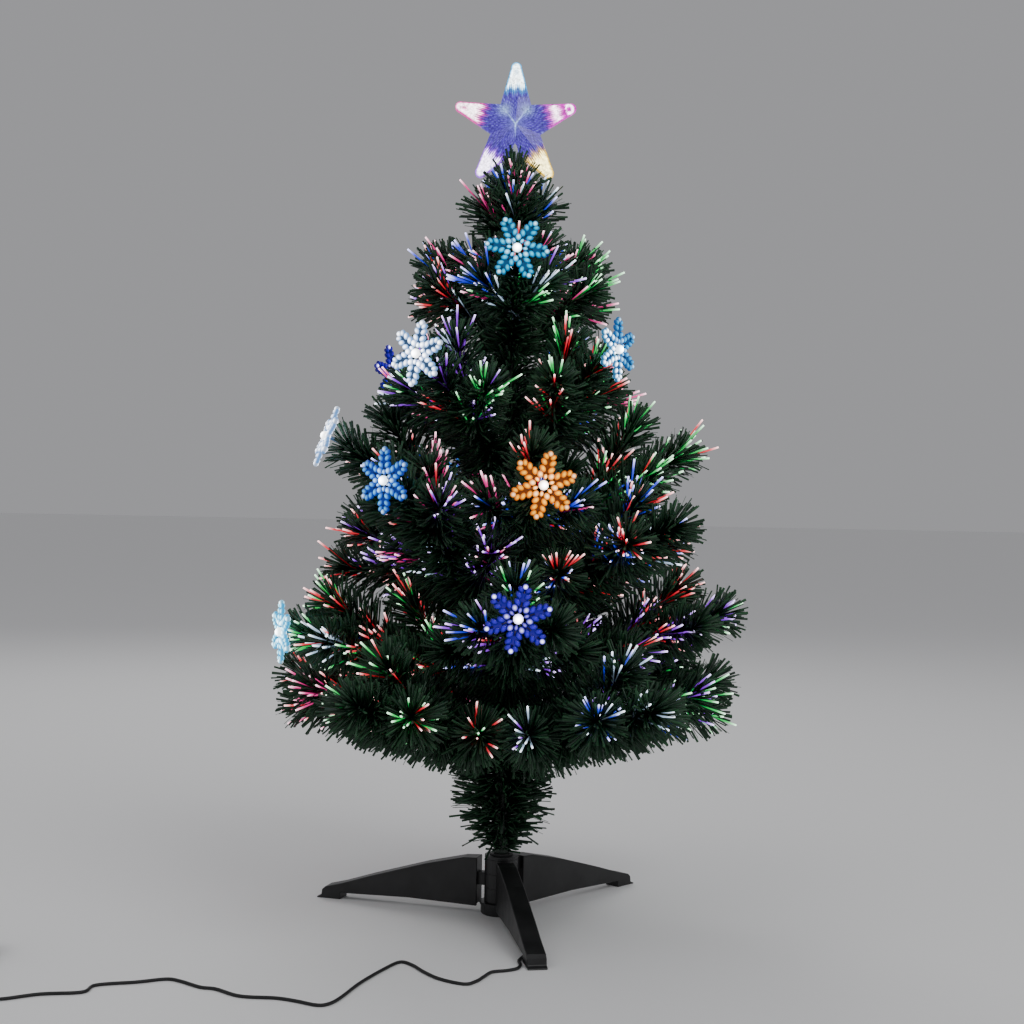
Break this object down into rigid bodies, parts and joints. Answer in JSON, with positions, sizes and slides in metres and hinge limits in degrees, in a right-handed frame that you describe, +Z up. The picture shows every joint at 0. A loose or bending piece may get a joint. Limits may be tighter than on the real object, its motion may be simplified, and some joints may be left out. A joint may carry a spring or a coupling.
{
  "type": "led christmas tree",
  "caption": "Small tinsel tree with lit fibres, beaded snowflake lights and a lit star, on a folding tripod stand with a corded power adaptor.",
  "frame": {"origin": "on the pole's axis at floor level, under the lamp cover", "axes": "+Z up along the pole, -Y towards the front of the tree, +X to its right as seen from the front"},
  "size_m": [0.7577, 0.5792, 0.9],
  "materials": {
    "stand_plastic": "satin",
    "lamp_board": "matte",
    "lamp_lens": "gloss",
    "ferrule_metal": "satin",
    "fibre_clear": "gloss",
    "pole_plastic": "satin",
    "rod_metal": "satin",
    "tinsel": "satin",
    "relief_rubber": "matte",
    "cord_jacket": "satin",
    "adaptor_plastic": "satin",
    "pin_metal": "polished",
    "star_clear": "gloss",
    "star_board": "matte",
    "star_socket_clear": "gloss",
    "flake_white": "gloss",
    "flake_sky": "gloss",
    "flake_teal": "gloss",
    "flake_cyan": "gloss",
    "flake_amber": "gloss",
    "flake_violet": "gloss"
  },
  "bodies": {
    "base": {"stand_hub": "stand_plastic", "hub_cap": "stand_plastic", "leg_front": "stand_plastic", "lamp_cover": "stand_plastic", "led_board": "lamp_board", "led_emitter": "lamp_lens", "strain_relief": "relief_rubber", "power_cord": "cord_jacket", "cord_coil": "cord_jacket", "power_adaptor": "adaptor_plastic", "adaptor_pin_left": "pin_metal", "adaptor_pin_right": "pin_metal"},
    "leg_left": {"leg_left": "stand_plastic"},
    "leg_right": {"leg_right": "stand_plastic"},
    "tree": {"pole": "pole_plastic", "pole_tip": "rod_metal", "trunk_garland": "tinsel", "crown_foliage": "tinsel", "fibre_ferrule": "ferrule_metal", "fibre_bundle": "fibre_clear"},
    "star": {"star_front_shell": "star_clear", "star_back_shell": "star_clear", "star_led_board": "star_board", "star_socket": "star_socket_clear"},
    "branch_01": {"branch_01": "tinsel"},
    "branch_02": {"branch_02": "tinsel"},
    "branch_03": {"branch_03": "tinsel"},
    "branch_04": {"branch_04": "tinsel"},
    "branch_05": {"branch_05": "tinsel"},
    "branch_06": {"branch_06": "tinsel", "snowflake_01": "flake_violet"},
    "branch_07": {"branch_07": "tinsel"},
    "branch_08": {"branch_08": "tinsel", "snowflake_02": "flake_amber"},
    "branch_09": {"branch_09": "tinsel", "snowflake_03": "flake_cyan"},
    "branch_10": {"branch_10": "tinsel", "snowflake_04": "flake_sky"},
    "branch_11": {"branch_11": "tinsel"},
    "branch_12": {"branch_12": "tinsel", "snowflake_05": "flake_white"},
    "branch_13": {"branch_13": "tinsel"},
    "branch_14": {"branch_14": "tinsel", "snowflake_06": "flake_amber"},
    "branch_15": {"branch_15": "tinsel"},
    "branch_16": {"branch_16": "tinsel", "snowflake_07": "flake_sky"},
    "branch_17": {"branch_17": "tinsel", "snowflake_08": "flake_white"},
    "branch_18": {"branch_18": "tinsel", "snowflake_09": "flake_white"},
    "branch_19": {"branch_19": "tinsel", "snowflake_10": "flake_sky"},
    "branch_20": {"branch_20": "tinsel"},
    "branch_21": {"branch_21": "tinsel", "snowflake_11": "flake_violet"},
    "branch_22": {"branch_22": "tinsel", "snowflake_12": "flake_teal"},
    "branch_23": {"branch_23": "tinsel"},
    "branch_24": {"branch_24": "tinsel"}
  },
  "joints": [
    {"name": "leg_left_fold", "type": "hinge", "parent": "base", "child": "leg_left", "pos_m": [0, 0, 0], "axis": [0, 0, 1], "range_deg": [0, 65]},
    {"name": "leg_right_fold", "type": "hinge", "parent": "base", "child": "leg_right", "pos_m": [0, 0, 0], "axis": [0, 0, -1], "range_deg": [0, 65]},
    {"name": "pole_lift", "type": "slide", "parent": "base", "child": "tree", "axis": [0, 0, 1], "range_m": [0, 0.06]},
    {"name": "star_lift", "type": "slide", "parent": "tree", "child": "star", "axis": [0, 0, 1], "range_m": [0, 0.06]},
    {"name": "branch_01_fold", "type": "hinge", "parent": "tree", "child": "branch_01", "pos_m": [-0.00661, -0.0091, 0.175], "axis": [-0.809, 0.5878, 0], "range_deg": [-12, 25]},
    {"name": "branch_02_fold", "type": "hinge", "parent": "tree", "child": "branch_02", "pos_m": [0.00661, -0.0091, 0.175], "axis": [-0.809, -0.5878, 0], "range_deg": [-12, 25]},
    {"name": "branch_03_fold", "type": "hinge", "parent": "tree", "child": "branch_03", "pos_m": [0.01069, 0.00347, 0.175], "axis": [0.309, -0.9511, 0], "range_deg": [-12, 25]},
    {"name": "branch_04_fold", "type": "hinge", "parent": "tree", "child": "branch_04", "pos_m": [0, 0.01124, 0.175], "axis": [1, 0, 0], "range_deg": [-12, 25]},
    {"name": "branch_05_fold", "type": "hinge", "parent": "tree", "child": "branch_05", "pos_m": [-0.01069, 0.00347, 0.175], "axis": [0.309, 0.9511, 0], "range_deg": [-12, 25]},
    {"name": "branch_06_fold", "type": "hinge", "parent": "tree", "child": "branch_06", "pos_m": [0.00055, -0.01123, 0.2443], "axis": [-0.9988, -0.0488, 0], "range_deg": [-12, 25]},
    {"name": "branch_07_fold", "type": "hinge", "parent": "tree", "child": "branch_07", "pos_m": [0.01123, 0.00059, 0.2443], "axis": [0.0523, -0.9986, 0], "range_deg": [-12, 25]},
    {"name": "branch_08_fold", "type": "hinge", "parent": "tree", "child": "branch_08", "pos_m": [-0.00059, 0.01123, 0.2443], "axis": [0.9986, 0.0523, 0], "range_deg": [-12, 25]},
    {"name": "branch_09_fold", "type": "hinge", "parent": "tree", "child": "branch_09", "pos_m": [-0.01115, -0.00145, 0.2443], "axis": [-0.1288, 0.9917, 0], "range_deg": [-12, 25]},
    {"name": "branch_10_fold", "type": "hinge", "parent": "tree", "child": "branch_10", "pos_m": [-0.00695, -0.00884, 0.3136], "axis": [-0.7859, 0.6184, 0], "range_deg": [-12, 25]},
    {"name": "branch_11_fold", "type": "hinge", "parent": "tree", "child": "branch_11", "pos_m": [0.00886, -0.00692, 0.3136], "axis": [-0.6157, -0.788, 0], "range_deg": [-12, 25]},
    {"name": "branch_12_fold", "type": "hinge", "parent": "tree", "child": "branch_12", "pos_m": [0.00692, 0.00886, 0.3136], "axis": [0.788, -0.6157, 0], "range_deg": [-12, 25]},
    {"name": "branch_13_fold", "type": "hinge", "parent": "tree", "child": "branch_13", "pos_m": [-0.00886, 0.00692, 0.3136], "axis": [0.6157, 0.788, 0], "range_deg": [-12, 25]},
    {"name": "branch_14_fold", "type": "hinge", "parent": "tree", "child": "branch_14", "pos_m": [0.00188, -0.01109, 0.38456], "axis": [-0.986, -0.1668, 0], "range_deg": [-12, 25]},
    {"name": "branch_15_fold", "type": "hinge", "parent": "tree", "child": "branch_15", "pos_m": [0.01107, 0.00195, 0.38456], "axis": [0.1736, -0.9848, 0], "range_deg": [-12, 25]},
    {"name": "branch_16_fold", "type": "hinge", "parent": "tree", "child": "branch_16", "pos_m": [-0.00291, 0.01086, 0.38456], "axis": [0.9659, 0.2588, 0], "range_deg": [-12, 25]},
    {"name": "branch_17_fold", "type": "hinge", "parent": "tree", "child": "branch_17", "pos_m": [-0.01086, -0.00291, 0.38456], "axis": [-0.2588, 0.9659, 0], "range_deg": [-12, 25]},
    {"name": "branch_18_fold", "type": "hinge", "parent": "tree", "child": "branch_18", "pos_m": [-0.00655, -0.00914, 0.46551], "axis": [-0.8131, 0.5821, 0], "range_deg": [-9.6, 20]},
    {"name": "branch_19_fold", "type": "hinge", "parent": "tree", "child": "branch_19", "pos_m": [0.00897, -0.00678, 0.46551], "axis": [-0.6032, -0.7976, 0], "range_deg": [-9.6, 20]},
    {"name": "branch_20_fold", "type": "hinge", "parent": "tree", "child": "branch_20", "pos_m": [0.00645, 0.00921, 0.46551], "axis": [0.8192, -0.5736, 0], "range_deg": [-9.6, 20]},
    {"name": "branch_21_fold", "type": "hinge", "parent": "tree", "child": "branch_21", "pos_m": [-0.00943, 0.00612, 0.46551], "axis": [0.5446, 0.8387, 0], "range_deg": [-9.6, 20]},
    {"name": "branch_22_fold", "type": "hinge", "parent": "tree", "child": "branch_22", "pos_m": [0.00047, -0.01123, 0.58997], "axis": [-0.9991, -0.0419, 0], "range_deg": [-6, 12.5]},
    {"name": "branch_23_fold", "type": "hinge", "parent": "tree", "child": "branch_23", "pos_m": [0.00954, 0.00596, 0.58997], "axis": [0.5299, -0.848, 0], "range_deg": [-6, 12.5]},
    {"name": "branch_24_fold", "type": "hinge", "parent": "tree", "child": "branch_24", "pos_m": [-0.00993, 0.00528, 0.58997], "axis": [0.4695, 0.8829, 0], "range_deg": [-6, 12.5]}
  ],
  "couplings": [
    {"joint": "branch_02_fold", "follows": "branch_01_fold", "ratio": 1},
    {"joint": "branch_03_fold", "follows": "branch_01_fold", "ratio": 1},
    {"joint": "branch_04_fold", "follows": "branch_01_fold", "ratio": 1},
    {"joint": "branch_05_fold", "follows": "branch_01_fold", "ratio": 1},
    {"joint": "branch_06_fold", "follows": "branch_01_fold", "ratio": 1},
    {"joint": "branch_07_fold", "follows": "branch_01_fold", "ratio": 1},
    {"joint": "branch_08_fold", "follows": "branch_01_fold", "ratio": 1},
    {"joint": "branch_09_fold", "follows": "branch_01_fold", "ratio": 1},
    {"joint": "branch_10_fold", "follows": "branch_01_fold", "ratio": 1},
    {"joint": "branch_11_fold", "follows": "branch_01_fold", "ratio": 1},
    {"joint": "branch_12_fold", "follows": "branch_01_fold", "ratio": 1},
    {"joint": "branch_13_fold", "follows": "branch_01_fold", "ratio": 1},
    {"joint": "branch_14_fold", "follows": "branch_01_fold", "ratio": 1},
    {"joint": "branch_15_fold", "follows": "branch_01_fold", "ratio": 1},
    {"joint": "branch_16_fold", "follows": "branch_01_fold", "ratio": 1},
    {"joint": "branch_17_fold", "follows": "branch_01_fold", "ratio": 1},
    {"joint": "branch_18_fold", "follows": "branch_01_fold", "ratio": 0.8},
    {"joint": "branch_19_fold", "follows": "branch_01_fold", "ratio": 0.8},
    {"joint": "branch_20_fold", "follows": "branch_01_fold", "ratio": 0.8},
    {"joint": "branch_21_fold", "follows": "branch_01_fold", "ratio": 0.8},
    {"joint": "branch_22_fold", "follows": "branch_01_fold", "ratio": 0.5},
    {"joint": "branch_23_fold", "follows": "branch_01_fold", "ratio": 0.5},
    {"joint": "branch_24_fold", "follows": "branch_01_fold", "ratio": 0.5}
  ]
}
